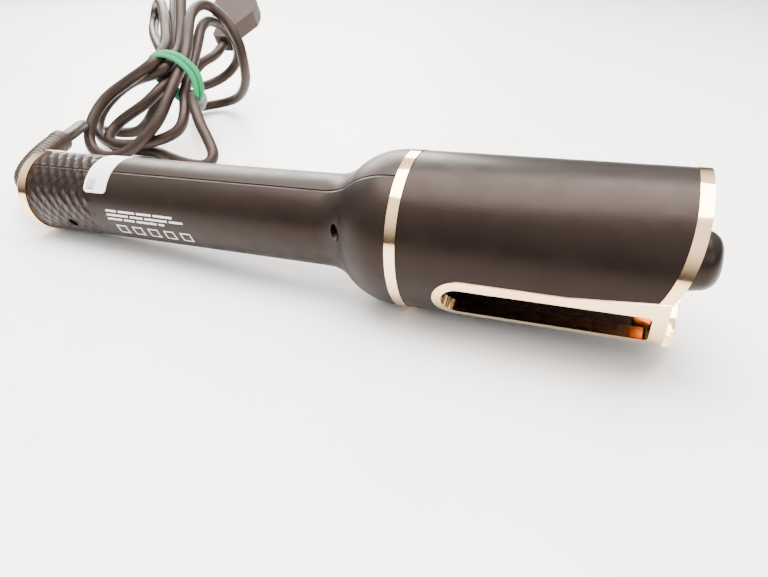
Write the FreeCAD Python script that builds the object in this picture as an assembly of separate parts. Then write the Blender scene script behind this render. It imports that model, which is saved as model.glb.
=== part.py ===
"""Automatic hair curler: a rotating heated barrel inside an open-ended chamber with a hair slot,
a two-part handle with controls, gearmotor and boards, and a swivelling mains cord.

Everything but the cord is drawn in the curler's own frame, in millimetres: X along the barrel axis
towards the nose, x = 0 at the middle of the neck ring, +Z out of the control panel and -Z out of
the hair slot.  lay_down() then rolls and tilts it to how it lies on a table.  In that table frame
X points to the nose, Z is up, z = 0 is the table, and the origin is under the curler's middle.
"""
import FreeCAD, Part
import math
import os
from FreeCAD import Placement, Rotation, Vector

# ---- driving dimensions -------------------------------------------------------------------
HEAD_R = 30.0              # outside of the hair chamber
HEAD_FRONT_X = 93.5        # front edge of the chamber shell
CHAMBER_WALL = 2.2
LINER_WALL = 1.0
HANDLE_TAIL_R = 18.2       # outside of the handle at the tail
HANDLE_NECK_R = 18.8       # outside of the handle where the neck starts to flare
HANDLE_WALL = 2.0
TAIL_X = -184.7            # rear edge of the handle shells
FLARE_START_X = -34.0      # the neck flares from here
FLARE_END_X = -4.5         # to here, where it has the chamber's radius
FLARE_INFLECTION = 0.40    # share of the flare before it turns from hollow to full
SPLIT_Z = -1.4             # plane of the seam between the two handle shells
SEAM_GAP = 0.12

NECK_RING_W = 4.0
NECK_RING_PROUD = 0.3
SLEEVE_REACH = 4.0         # how far the neck ring's sleeve goes into the shells on each side
SLEEVE_WALL = 1.4
TAIL_RING_W = 5.8
TAIL_RING_PROUD = 0.7
TAIL_RING_WALL = 1.9
SPIGOT_L = 2.4             # stub of the handle shells inside the tail ring
SPIGOT_WALL = 1.3

MOUTH_RING_W = 4.0         # gold band in front of the chamber shell
MOUTH_DIP = 7.0            # how far the mouth steps back at the slot
MOUTH_DIP_HALF_W = 11.5    # half width of the flat bottom of that step
MOUTH_DIP_MID = (20.8, 4.4)   # half width and rise of a middle point on the step's curve
TRIM_PROUD = 0.3
TRIM_WALL = 3.4
SLOT_REAR_X = 17.5         # rounded rear end of the slot
SLOT_HALF_W = 6.7
SLOT_CORNER_R = 1.6
BEZEL_W = 3.2              # gold flange around the slot
BEZEL_FRONT_W = 5.6        # the flange widens to this at the front
BEZEL_PROUD = 0.6
BEZEL_SEAT = 0.05          # glue line between the flange and the shell
SLOT_WALL = 1.0            # gold wall that lines the slot
SLOT_WALL_DEPTH = 4.2

BARREL_R = 12.5
BARREL_WALL = 1.8
BARREL_REAR_X = 12.6
BARREL_FRONT_X = 88.0
NOSE_TIP_X = 105.3
NOSE_CONE_X = 100.5        # end of the cone, start of the rounded tip
NOSE_CONE_R = 10.1
NOSE_TIP_R = 4.5
HUB_FLANGE_R = 21.0
HUB_FLANGE_T = 3.0
CATCH_PEG_R = 1.8          # pegs on the hub that carry the hair round
CATCH_PEG_L = 9.0
CATCH_PEGS = 3

SHAFT_R = 4.0
SHAFT_BORE_R = 2.2
SHAFT_REAR_X = -23.0
BEARING_WALL = 2.4
GEAR_MODULE = 0.5
GEAR_TEETH = 26
PINION_TEETH = 12
GEAR_W = 4.0
GEAR_X = -22.3             # rear face of the gear pair
GEAR_BACKLASH = 0.10
MOTOR_SHAFT_R = 1.5

SCREW_R = 1.3
SCREW_HEAD_R = 2.1
SCREW_HOLE_R = 2.3
SCREW_BOSS_R = 3.3
SCREW_SEAT_DEPTH = 5.0     # from the seam plane down to under the screw head
SCREW_REACH = 7.0          # thread above the seam plane
NECK_SCREW_X = -25.0
NECK_SCREW_Y = 13.3
TAIL_SCREW_IN = 22.3       # the tail screw's place, from the rear edge of the shells

PANEL_X0, PANEL_X1 = -130.0, -36.0
PANEL_HALF_W = 6.6
PANEL_FLOOR_Z = 16.8       # floor of the pocket that takes the panel plate
PANEL_T = 0.6
PANEL_PAD_T = 2.0          # thickness of the shell under the panel
WINDOW_X0, WINDOW_X1 = -114.0, -90.0
WINDOW_HALF_W = 5.0
WINDOW_T = 1.0
BUTTON_R = 4.2
BUTTON_TRAVEL = 0.8
BUTTON_PROUD = 1.3
BUTTON_FLANGE = 0.9        # how far the retaining flange stands out, and how thick it is
BUTTONS = {"power_button": -122.0, "temperature_button": -80.0, "timer_button": -68.0,
           "rotate_left_button": -55.0, "rotate_right_button": -43.0}
BOARD_T = 1.6
CONTROL_BOARD_TOP_Z = 11.0
POWER_BOARD_TOP_Z = -6.4
BOARD_EDGE_GAP = 0.4

STICKER_FROM_TAIL = 34.7
STICKER_W = 12.5
STICKER_ANGLE0, STICKER_ANGLE1 = 53.0, 150.0   # about the axis, from the slot side upwards
STICKER_T = 0.15
STICKER_CORNER_R = 2.0

SWIVEL_R = 6.5             # neck of the cord swivel in the tail cap
SWIVEL_PROUD = 6.0         # how far the swivel stands out of the tail ring
SWIVEL_REACH = 14.7        # how far it goes in past the rear edge of the shells
SWIVEL_COLLAR_R = 8.6
CORD_R = 3.5
RELIEF_ROOT_R = 6.2
RELIEF_END_R = 5.4

SLIP = 0.05                # radial clearance of a running shaft, and of parts that seat
FIT = 0.10                 # clearance of parts that drop in
CLEAR = 0.30               # clearance of parts that must not touch

# ---- how it lies on the table -------------------------------------------------------------
SLOT_ELEVATION = -26.1     # degrees; the slot looks a little downwards, to -Y

# ---- values that follow ---------------------------------------------------------------------
CHAMBER_IN_R = HEAD_R - CHAMBER_WALL
NECK_RING_R = HEAD_R + NECK_RING_PROUD
TAIL_RING_R = HANDLE_TAIL_R + TAIL_RING_PROUD
TAIL_END_X = TAIL_X - TAIL_RING_W
SWIVEL_OUT_X = TAIL_END_X - SWIVEL_PROUD
SWIVEL_IN_X = TAIL_X + SWIVEL_REACH
TAIL_SCREW_X = TAIL_X + TAIL_SCREW_IN
STICKER_X0 = TAIL_X + STICKER_FROM_TAIL
STICKER_X1 = STICKER_X0 + STICKER_W
TRIM_R = HEAD_R + TRIM_PROUD
TRIM_IN_R = TRIM_R - TRIM_WALL
MOUTH_FRONT_X = HEAD_FRONT_X + MOUTH_RING_W
SLOT_FRONT_X = HEAD_FRONT_X - MOUTH_DIP - 0.5
SHAFT_AXIS_DROP = GEAR_MODULE * (GEAR_TEETH + PINION_TEETH) / 2
SLEEVE_R = CHAMBER_IN_R - FIT
SLEEVE_IN_R = SLEEVE_R - SLEEVE_WALL
BULKHEAD_X0, BULKHEAD_X1 = 2.5, 6.5
FRAME_PLATE_X0, FRAME_PLATE_X1 = -17.0, -14.0
MOTOR_PLATE_X0, MOTOR_PLATE_X1 = -26.2, -24.2
RESTS_ON_X = -NECK_RING_W / 2
TILT = math.degrees(math.atan((NECK_RING_R - TAIL_RING_R) / (RESTS_ON_X - TAIL_END_X)))

AXIS = Vector(1, 0, 0)
UP = Vector(0, 0, 1)
curler = {}                # node name: solid in the curler's frame
cord_set = {}              # node name: solid in the table frame


# ---- small tools ----------------------------------------------------------------------------
def disc(x0, x1, r):
    return Part.makeCylinder(r, x1 - x0, Vector(x0, 0, 0), AXIS)


def tube(x0, x1, r_out, r_in):
    return disc(x0, x1, r_out).cut(disc(x0 - 1, x1 + 1, r_in))


def block(x0, x1, y0, y1, z0, z1):
    return Part.makeBox(x1 - x0, y1 - y0, z1 - z0, Vector(x0, y0, z0))


def post(x, y, z0, z1, r):
    return Part.makeCylinder(r, z1 - z0, Vector(x, y, z0), UP)


def join(first, *others):
    return first.fuse(list(others)).removeSplitter()


def revolve(edges, angle=360):
    return Part.Face(Part.Wire(edges)).revolve(Vector(), AXIS, angle)


def lines(points):
    return Part.makePolygon([Vector(x, r, 0) for x, r in points]).Edges


def arc(start, middle, end):
    return Part.Arc(Vector(*start, 0), Vector(*middle, 0), Vector(*end, 0)).toShape()


def spun(points):
    """Solid of revolution from (x, r) corners."""
    return revolve(lines(points + points[:1]))


def slab(x0, x1, half_w, z0, z1, corner):
    """Upright plate with rounded corners, seen along Z."""
    plate = block(x0, x1, -half_w, half_w, z0, z1)
    uprights = [e for e in plate.Edges if abs(e.tangentAt(e.FirstParameter).z) > 0.99]
    return plate.makeFillet(corner, uprights)


def handle_r(x):
    """Outside radius of the straight part of the handle."""
    share = (x - TAIL_X) / (FLARE_START_X - TAIL_X)
    return HANDLE_TAIL_R + share * (HANDLE_NECK_R - HANDLE_TAIL_R)


# ---- handle ---------------------------------------------------------------------------------
def handle_body(inset, x_rear, x_front):
    """The handle's outer form, made smaller by inset: a taper, then a flare of two arcs."""
    start = (FLARE_START_X, HANDLE_NECK_R - inset)
    end = (FLARE_END_X, HEAD_R - inset)
    run = (end[0] - start[0], end[1] - start[1])
    turn = 2 * math.atan2(run[1], run[0])
    bend = [(start[0] + FLARE_INFLECTION * run[0], start[1] + FLARE_INFLECTION * run[1])]
    first_r = FLARE_INFLECTION * run[1] / (1 - math.cos(turn))
    last_r = (1 - FLARE_INFLECTION) * run[1] / (1 - math.cos(turn))
    half_run, half_rise = math.sin(turn / 2), 1 - math.cos(turn / 2)
    mid_1 = (start[0] + first_r * half_run, start[1] + first_r * half_rise)
    mid_2 = (end[0] - last_r * half_run, end[1] - last_r * half_rise)
    edges = lines([(x_front, 0), (x_rear, 0), (x_rear, handle_r(x_rear) - inset), start])
    edges += [arc(start, mid_1, bend[0]), arc(bend[0], mid_2, end)]
    edges += lines([end, (x_front, HEAD_R - inset), (x_front, 0)])
    return revolve(edges)


def screw_places():
    return [(NECK_SCREW_X, NECK_SCREW_Y), (NECK_SCREW_X, -NECK_SCREW_Y), (TAIL_SCREW_X, 0)]


def handle_shells():
    """Front and back shells with screw bosses, board rails and a stub for the tail ring."""
    front_x = -NECK_RING_W / 2 - SLIP
    outer = handle_body(0, TAIL_X, front_x)
    cavity = handle_body(HANDLE_WALL, TAIL_X - 1, front_x + 1)
    stub_r = TAIL_RING_R - TAIL_RING_WALL - FIT
    stub = tube(TAIL_X - SPIGOT_L, TAIL_X + SPIGOT_L, stub_r, stub_r - SPIGOT_WALL)
    wall = join(outer.cut(cavity), stub)
    far = 2 * HEAD_R
    keep_front = block(TAIL_X - 9, 9, -far, far, SPLIT_Z + SEAM_GAP / 2, far)
    keep_back = block(TAIL_X - 9, 9, -far, far, -far, SPLIT_Z - SEAM_GAP / 2)
    front, back = [wall.common(keep_front)], [wall.common(keep_back)]
    front_cuts, back_cuts = [], []
    for x, y in screw_places():
        seat_z = SPLIT_Z - SCREW_SEAT_DEPTH
        front.append(post(x, y, SPLIT_Z, HEAD_R, SCREW_BOSS_R).common(outer).common(keep_front))
        back.append(post(x, y, -HEAD_R, SPLIT_Z, SCREW_BOSS_R).common(outer).common(keep_back))
        front_cuts.append(post(x, y, SPLIT_Z - 1, SPLIT_Z + SCREW_REACH + 1, SCREW_R + SLIP))
        back_cuts.append(post(x, y, -far, seat_z, SCREW_HOLE_R))
        back_cuts.append(post(x, y, seat_z - 1, SPLIT_Z + 1, SCREW_R + FIT))
    front += board_rails(CONTROL_BOARD_TOP_Z - BOARD_T, -1, PANEL_X0 - 4, PANEL_X1)
    back += board_rails(POWER_BOARD_TOP_Z - BOARD_T, -1, -150.0, -64.0)
    pad = block(PANEL_X0 - 1.2, PANEL_X1 + 1.2, -PANEL_HALF_W - 2, PANEL_HALF_W + 2,
                PANEL_FLOOR_Z - PANEL_PAD_T, HEAD_R).common(handle_body(0.5, TAIL_X, front_x))
    front.append(pad)
    front_cuts.append(slab(PANEL_X0 - FIT, PANEL_X1 + FIT, PANEL_HALF_W + FIT, PANEL_FLOOR_Z,
                           far, 3.0 + FIT))
    front_cuts += panel_holes(-FIT)
    curler["front_shell"] = join(*front).cut(front_cuts)
    curler["back_shell"] = join(*back).cut(back_cuts)


def board_rails(z, side, x0, x1):
    """Short ledges on the shell wall that carry a circuit board on its underside at height z."""
    rails = []
    wall_r = HANDLE_TAIL_R - HANDLE_WALL
    for x in (x0 + 8, (x0 + x1) / 2, x1 - 8):
        rib = tube(x - 1.5, x + 1.5, handle_r(x) - 0.5, wall_r - 3.2)
        z_low, z_high = sorted((z, z + side * 3.0))
        rails.append(rib.common(block(x - 2, x + 2, -HEAD_R, HEAD_R, z_low, z_high)))
    return rails


def panel_holes(grow):
    """What is cut through the panel floor: a hole per button and the window's recess."""
    top, low = HEAD_R, PANEL_FLOOR_Z - PANEL_PAD_T - 1
    cuts = [post(x, 0, low, top, BUTTON_R + 0.15 - grow * 0.5) for x in BUTTONS.values()]
    cuts.append(slab(WINDOW_X0 + 1 + grow, WINDOW_X1 - 1 - grow, WINDOW_HALF_W - 1 - grow,
                     low, top, 1.0))
    return cuts


def control_panel():
    """Glossy plate, window, buttons, rubber keypad, display and control board."""
    top_z = PANEL_FLOOR_Z + PANEL_T
    plate = slab(PANEL_X0, PANEL_X1, PANEL_HALF_W, PANEL_FLOOR_Z + SLIP, top_z, 3.0)
    curler["panel_plate"] = plate.cut(panel_holes(0.0))
    pad_z = PANEL_FLOOR_Z - PANEL_PAD_T
    curler["display_window"] = slab(WINDOW_X0 + 1 + FIT, WINDOW_X1 - 1 - FIT,
                                    WINDOW_HALF_W - 1 - FIT, top_z - WINDOW_T, top_z - 0.1, 0.9)
    curler["display_module"] = slab(WINDOW_X0, WINDOW_X1, WINDOW_HALF_W + 1.5,
                                    CONTROL_BOARD_TOP_Z + SLIP, pad_z - FIT, 0.6)
    flange_top = pad_z - FIT
    for name, x in BUTTONS.items():
        cap = post(x, 0, flange_top - BUTTON_FLANGE, top_z + BUTTON_PROUD, BUTTON_R)
        rim = [e for e in cap.Edges if e.BoundBox.ZMin > top_z]
        flange = post(x, 0, flange_top - BUTTON_FLANGE, flange_top, BUTTON_R + BUTTON_FLANGE)
        curler[name] = join(cap.makeFillet(0.5, rim), flange)
    dome_z = flange_top - BUTTON_FLANGE - BUTTON_TRAVEL - CLEAR
    domes = [post(x, 0, CONTROL_BOARD_TOP_Z + SLIP, dome_z, 2.2) for x in BUTTONS.values()]
    sheets = [slab(min(xs) - 5.5, max(xs) + 5.5, BUTTON_R + 0.6, CONTROL_BOARD_TOP_Z + SLIP,
                   CONTROL_BOARD_TOP_Z + 0.6, 1.0)
              for xs in ([-122.0], [x for x in BUTTONS.values() if x > WINDOW_X1])]
    curler["keypad"] = Part.makeCompound([join(sheets[0], domes[0]), join(sheets[1], *domes[1:])])
    curler["control_board"] = board(PANEL_X0 - 4, PANEL_X1, CONTROL_BOARD_TOP_Z)


def board(x0, x1, top_z):
    """Circuit board as wide as the handle allows at its height."""
    wall_r = HANDLE_TAIL_R - HANDLE_WALL
    widest = math.sqrt(wall_r ** 2 - max(abs(top_z), abs(top_z - BOARD_T)) ** 2)
    return slab(x0, x1, widest - BOARD_EDGE_GAP, top_z - BOARD_T + SLIP, top_z, 1.0)


def power_board():
    """Mains board with its capacitors, transformer, relay and heat-sunk switch."""
    curler["power_board"] = board(-150.0, -64.0, POWER_BOARD_TOP_Z)
    z = POWER_BOARD_TOP_Z + SLIP
    parts = [block(-128, -112, -7, 7, z, z + 11), block(-104, -92, -8, 2, z, z + 8),
             block(-86, -74, -5, 7, z, z + 7), block(-143, -134, -6, -1, z, z + 9)]
    parts += [post(-139, 4.5, z, z + 9, 3.5), post(-99, 7, z, z + 7, 2.5)]
    curler["power_components"] = Part.makeCompound(parts)


def screws():
    """Self-tapping screws that hold the shells together, one node."""
    seat_z = SPLIT_Z - SCREW_SEAT_DEPTH
    group = []
    for x, y in screw_places():
        head = post(x, y, seat_z - 1.6, seat_z - SLIP, SCREW_HEAD_R)
        slot_1 = block(x - 1.2, x + 1.2, y - 0.25, y + 0.25, seat_z - 2, seat_z - 0.9)
        slot_2 = block(x - 0.25, x + 0.25, y - 1.2, y + 1.2, seat_z - 2, seat_z - 0.9)
        shank = post(x, y, seat_z - 0.5, SPLIT_Z + SCREW_REACH, SCREW_R)
        group.append(join(head, shank).cut([slot_1, slot_2]))
    curler["shell_screws"] = Part.makeCompound(group)


def sticker():
    """Blank rating sticker wrapped over the seam."""
    skin = spun([(x, handle_r(x) + lift) for x, lift in
                 ((STICKER_X0 - 1, 0.03), (STICKER_X1 + 1, 0.03),
                  (STICKER_X1 + 1, 0.03 + STICKER_T), (STICKER_X0 - 1, 0.03 + STICKER_T))])
    low, high = handle_r(STICKER_X0) - 2, handle_r(STICKER_X0) + 2
    corners = [(STICKER_X0, low), (STICKER_X1, low), (STICKER_X1, high), (STICKER_X0, high)]
    blank = revolve(lines(corners + corners[:1]), STICKER_ANGLE1 - STICKER_ANGLE0)
    # the profile starts on +Y; turn it so that its first edge is STICKER_ANGLE0 from -Z, at -Y
    blank.rotate(Vector(), AXIS, -90 - STICKER_ANGLE1)
    ends = [e for e in blank.Edges if e.Length < STICKER_W / 2]
    curler["rating_sticker"] = skin.common(blank.makeFillet(STICKER_CORNER_R, ends))


def rings():
    """Gold rings at the neck and the tail, and the tail cap with the swivel's bore."""
    half = NECK_RING_W / 2
    neck = join(tube(-half, half, NECK_RING_R, SLEEVE_IN_R),
                tube(-half - SLEEVE_REACH, half + SLEEVE_REACH, SLEEVE_R, SLEEVE_IN_R))
    curler["neck_ring"] = neck
    stub_r = TAIL_RING_R - TAIL_RING_WALL
    ring = tube(TAIL_END_X, TAIL_X - SLIP, TAIL_RING_R, stub_r)
    rim = [e for e in ring.Edges if e.BoundBox.XMax < TAIL_END_X + 0.1 and
           e.BoundBox.YMax > TAIL_RING_R - 0.1]
    curler["tail_ring"] = ring.makeFillet(1.2, rim)
    cap_r = stub_r - FIT
    front = TAIL_X - SPIGOT_L - FIT
    cap = spun([(front, SWIVEL_R + SLIP), (front, cap_r), (TAIL_END_X + 0.3, cap_r),
                (TAIL_END_X - 1.4, cap_r - 3.4), (TAIL_END_X - 2.2, SWIVEL_R + 2.0),
                (TAIL_END_X - 2.2, SWIVEL_R + SLIP)])
    curler["tail_cap"] = cap


# ---- chamber --------------------------------------------------------------------------------
def mouth_cutter(x_front):
    """Everything in front of the mouth line, which steps back on the slot side."""
    far, y_mid = 2 * HEAD_R, MOUTH_DIP_MID[0]
    flat_x = x_front - MOUTH_DIP
    edges = []
    for side in (1, -1):
        edges.append(arc((flat_x, side * MOUTH_DIP_HALF_W),
                         (flat_x + MOUTH_DIP_MID[1], side * y_mid), (x_front, side * HEAD_R)))
        edges += lines([(x_front, side * HEAD_R), (x_front, side * far), (x_front + far, side * far)])
    edges += lines([(flat_x, -MOUTH_DIP_HALF_W), (flat_x, MOUTH_DIP_HALF_W)])
    edges += lines([(x_front + far, -far), (x_front + far, far)])
    face = Part.Face(Part.Wire(Part.__sortEdges__(edges)))
    return join(face.extrude(Vector(0, 0, -far)),
                block(x_front, x_front + far, -far, far, -0.01, far))


def slot_outline(grow, front_x, flare=0.0):
    """Column over the slot, on its side of the axis: a round rear end and a square front."""
    half = SLOT_HALF_W + grow
    rear = SLOT_REAR_X - grow
    centre = rear + half
    straight = centre + 0.55 * (front_x - centre)
    edges = [arc((centre, half), (rear, 0), (centre, -half))]
    for side in (1, -1):
        edges += lines([(centre, side * half), (straight, side * half),
                        (front_x, side * (half + flare))])
    edges += lines([(front_x, half + flare), (front_x, -half - flare)])
    face = Part.Face(Part.Wire(Part.__sortEdges__(edges)))
    return face.extrude(Vector(0, 0, -2 * HEAD_R))


def slot_opening(grow=0.0):
    column = slot_outline(grow, SLOT_FRONT_X + grow)
    corners = [e for e in column.Edges if abs(e.tangentAt(e.FirstParameter).z) > 0.99 and
               e.BoundBox.XMin > SLOT_FRONT_X - 1]
    return column.makeFillet(SLOT_CORNER_R, corners)


def chamber():
    """Chamber shell, heat liner, gold trim of mouth and slot, and the rear bulkhead."""
    rear_x = NECK_RING_W / 2 + SLIP
    wall_hole = slot_opening(SLOT_WALL + FIT)
    shell = tube(rear_x, HEAD_FRONT_X, HEAD_R, CHAMBER_IN_R)
    curler["chamber_shell"] = shell.cut([mouth_cutter(HEAD_FRONT_X - SLIP), wall_hole])
    liner_r = CHAMBER_IN_R - FIT
    tongue_l = 4.0
    liner_front = HEAD_FRONT_X - MOUTH_DIP - tongue_l - 1.0
    liner = tube(NECK_RING_W / 2 + SLEEVE_REACH + FIT, liner_front, liner_r, liner_r - LINER_WALL)
    curler["chamber_liner"] = liner.cut(slot_opening(SLOT_WALL + CLEAR))
    band = tube(HEAD_FRONT_X - MOUTH_DIP - 1, MOUTH_FRONT_X, TRIM_R, TRIM_IN_R)
    band = band.cut(mouth_cutter(MOUTH_FRONT_X)).common(mouth_cutter(HEAD_FRONT_X))
    tongue = tube(liner_front + 0.5, HEAD_FRONT_X + 0.5, liner_r, TRIM_IN_R)
    tongue = tongue.cut(mouth_cutter(HEAD_FRONT_X + 0.5))
    lining = tube(10, MOUTH_FRONT_X, TRIM_R, TRIM_R - SLOT_WALL_DEPTH)
    lining = lining.common(slot_opening(SLOT_WALL)).cut(mouth_cutter(MOUTH_FRONT_X))
    flange = tube(10, MOUTH_FRONT_X, HEAD_R + BEZEL_PROUD, HEAD_R + BEZEL_SEAT)
    flange = flange.common(slot_outline(BEZEL_W, MOUTH_FRONT_X - MOUTH_DIP,
                                        flare=BEZEL_FRONT_W - BEZEL_W))
    trim = join(band, tongue, lining, flange)
    curler["mouth_trim"] = trim.cut(slot_opening()).cut(mouth_cutter(MOUTH_FRONT_X))
    bulkhead = tube(BULKHEAD_X0, BULKHEAD_X1, SLEEVE_IN_R - FIT, SHAFT_R + BEARING_WALL + SLIP)
    curler["bulkhead"] = bulkhead


# ---- drive ----------------------------------------------------------------------------------
def involute_gear(teeth, x0, bore_r, centre_z, turn):
    """Spur gear about an axis parallel to X, with involute flanks; turn is in degrees."""
    pitch_r = GEAR_MODULE * teeth / 2
    base_r = pitch_r * math.cos(math.radians(20))
    tip_r, root_r = pitch_r + GEAR_MODULE, pitch_r - 1.25 * GEAR_MODULE
    half_tooth = math.pi / (2 * teeth) - GEAR_BACKLASH / (2 * pitch_r)

    def spread(r):
        """Angle of the involute at radius r."""
        roll = math.sqrt(max((r / base_r) ** 2 - 1, 0))
        return roll - math.atan(roll)

    start_r = max(base_r, root_r)
    flank = [start_r + (tip_r - start_r) * step / 4 for step in range(5)]
    points = []
    for tooth in range(teeth):
        middle = 2 * math.pi * tooth / teeth + math.radians(turn)
        half = [half_tooth + spread(pitch_r) - spread(r) for r in flank]
        side = [(root_r, middle - half[0])] if root_r < start_r else []
        side += [(r, middle - h) for r, h in zip(flank, half)]
        points += side + [(r, 2 * middle - angle) for r, angle in reversed(side)]
    corners = [Vector(x0, r * math.sin(a), r * math.cos(a) + centre_z) for r, a in points]
    face = Part.Face(Part.makePolygon(corners + corners[:1]))
    gear = face.extrude(Vector(GEAR_W, 0, 0))
    bore = Part.makeCylinder(bore_r, GEAR_W + 2, Vector(x0 - 1, 0, centre_z), AXIS)
    return gear.cut(bore)


def barrel():
    """Everything that turns with the barrel."""
    bore_r = BARREL_R - BARREL_WALL
    plug_r = bore_r - SLIP
    curler["barrel_tube"] = tube(BARREL_REAR_X, BARREL_FRONT_X, BARREL_R, bore_r)
    flange_x = BARREL_REAR_X - SLIP - HUB_FLANGE_T
    hub = join(tube(flange_x, flange_x + HUB_FLANGE_T, HUB_FLANGE_R, SHAFT_R + SLIP),
               tube(flange_x, BARREL_REAR_X + 7, plug_r, SHAFT_R + SLIP),
               *[peg(k * 360 / CATCH_PEGS, flange_x + 1) for k in range(CATCH_PEGS)])
    curler["barrel_hub"] = hub
    curler["hub_shaft"] = tube(SHAFT_REAR_X, BARREL_REAR_X + 6, SHAFT_R, SHAFT_BORE_R)
    heater_x0, heater_x1 = BARREL_REAR_X + 10, BARREL_FRONT_X - 9
    core = disc(heater_x0, heater_x1, plug_r)
    plate_t, plate_half_w = 1.6, 8.0
    gap = block(heater_x0 - 1, heater_x1 + 1, -BARREL_R, BARREL_R,
                -plate_t / 2 - SLIP, plate_t / 2 + SLIP)
    curler["heater_blocks"] = core.cut(gap)
    curler["heater_plate"] = block(heater_x0, heater_x1, -plate_half_w, plate_half_w,
                                   -plate_t / 2, plate_t / 2)
    cone = lines([(NOSE_TIP_X, NOSE_TIP_R), (NOSE_TIP_X, 0), (BARREL_FRONT_X - 8, 0),
                  (BARREL_FRONT_X - 8, plug_r), (BARREL_FRONT_X + SLIP, plug_r),
                  (BARREL_FRONT_X + SLIP, BARREL_R), (NOSE_CONE_X, NOSE_CONE_R)])
    bulge = (NOSE_CONE_X + 0.72 * (NOSE_TIP_X - NOSE_CONE_X),
             NOSE_TIP_R + 0.62 * (NOSE_CONE_R - NOSE_TIP_R))
    tip = arc((NOSE_CONE_X, NOSE_CONE_R), bulge, (NOSE_TIP_X, NOSE_TIP_R))
    curler["nose_cap"] = revolve(cone + [tip])
    sleeve_r = SHAFT_R + 2.0
    sleeve_x0, sleeve_x1 = FRAME_PLATE_X1 + 1.4, BULKHEAD_X0 - 1.0
    sleeve = tube(sleeve_x0, sleeve_x1, sleeve_r, SHAFT_R + SLIP)
    ring_w = 2.4
    pitch = (sleeve_x1 - sleeve_x0) / 3
    ring_x = [sleeve_x0 + (k + 0.5) * pitch for k in range(3)]
    curler["slip_ring_sleeve"] = sleeve
    curler["slip_rings"] = Part.makeCompound(
        [tube(x - ring_w / 2, x + ring_w / 2, sleeve_r + 0.8, sleeve_r + SLIP) for x in ring_x])
    brushes(ring_x, sleeve_r + 0.8)
    curler["drive_gear"] = involute_gear(GEAR_TEETH, GEAR_X, SHAFT_R + SLIP, 0, 180)


def peg(angle, x0):
    """Rounded peg on the hub flange, along the barrel."""
    r = HUB_FLANGE_R - CATCH_PEG_R - 0.6
    y, z = r * math.sin(math.radians(angle)), r * math.cos(math.radians(angle))
    length = HUB_FLANGE_T + CATCH_PEG_L
    stick = Part.makeCylinder(CATCH_PEG_R, length, Vector(x0, y, z), AXIS)
    return stick.makeFillet(1.0, [e for e in stick.Edges if e.BoundBox.XMin > x0 + length - 0.1])


def brushes(ring_x, ring_r):
    """Carbon brushes in a block that stands over the slip rings."""
    brush_z0, brush_z1, half = ring_r + CLEAR, ring_r + 6.0, 1.1
    block_z0, block_z1 = ring_r + 1.5, ring_r + 8.0
    holder = block(FRAME_PLATE_X1 + SLIP, ring_x[-1] + 2.6, -5, 5, block_z0, block_z1)
    pockets = [block(x - half - SLIP, x + half + SLIP, -half - SLIP, half + SLIP, block_z0 - 1,
                     brush_z1 + SLIP) for x in ring_x]
    curler["brush_holder"] = holder.cut(pockets)
    curler["carbon_brushes"] = Part.makeCompound(
        [block(x - half, x + half, -half, half, brush_z0, brush_z1) for x in ring_x])


def drive_train():
    """Bearings, gear frame, gearmotor and its pinion."""
    bearing_r = SHAFT_R + BEARING_WALL
    for name, x0, x1 in (("front_bearing", BULKHEAD_X0 - 0.5, BULKHEAD_X1 + 0.5),
                         ("rear_bearing", FRAME_PLATE_X0 - 0.5, FRAME_PLATE_X1 + 0.5)):
        curler[name] = tube(x0, x1, bearing_r, SHAFT_R + SLIP)
    motor_z = -SHAFT_AXIS_DROP
    plate = disc(FRAME_PLATE_X0, FRAME_PLATE_X1, 19.0)
    motor_plate = block(MOTOR_PLATE_X0, MOTOR_PLATE_X1, -8.5, 8.5, motor_z - 5.0, 2.0)
    rails = [block(MOTOR_PLATE_X0, FRAME_PLATE_X0, y - 0.75, y + 0.75, motor_z - 5.0, 2.0)
             for y in (-7.75, 7.75)]
    posts = [rod_x(FRAME_PLATE_X1 - 1, BULKHEAD_X0 - SLIP, 17.0, angle, 2.2)
             for angle in (60, 180, 300)]
    frame = join(plate, motor_plate, *rails, *posts)
    gear_tip = GEAR_MODULE * (GEAR_TEETH + 2) / 2
    cuts = [disc(FRAME_PLATE_X0 - 9, FRAME_PLATE_X1 + 1, bearing_r + SLIP),
            disc(GEAR_X - 0.6, FRAME_PLATE_X0 - SLIP, gear_tip + 0.25),
            shifted_disc(MOTOR_PLATE_X0 - 1, FRAME_PLATE_X0, 2.6, motor_z)]
    curler["gear_frame"] = frame.cut(cuts)
    gearbox = block(MOTOR_PLATE_X0 - 9, MOTOR_PLATE_X0 - SLIP, -6, 6, motor_z - 5, motor_z + 5)
    gearbox = join(gearbox, shifted_disc(MOTOR_PLATE_X0 - SLIP, MOTOR_PLATE_X1, 2.4, motor_z))
    can_x0 = MOTOR_PLATE_X0 - 25
    can = shifted_disc(can_x0, MOTOR_PLATE_X0 - 9 - SLIP, 6.0, motor_z)
    can = can.common(block(can_x0, MOTOR_PLATE_X0, -6, 6, motor_z - 5, motor_z + 5))
    shaft_x0 = MOTOR_PLATE_X0 - 5
    curler["motor_gearbox"] = gearbox.cut(shifted_disc(shaft_x0 - 1, 0, MOTOR_SHAFT_R + SLIP,
                                                       motor_z))
    curler["motor_can"] = can
    curler["motor_shaft"] = shifted_disc(shaft_x0, GEAR_X + GEAR_W, MOTOR_SHAFT_R, motor_z)
    half_pitch = 180 / PINION_TEETH
    curler["motor_pinion"] = involute_gear(PINION_TEETH, GEAR_X, MOTOR_SHAFT_R + SLIP, motor_z,
                                           half_pitch)


def shifted_disc(x0, x1, r, z):
    return Part.makeCylinder(r, x1 - x0, Vector(x0, 0, z), AXIS)


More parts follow.
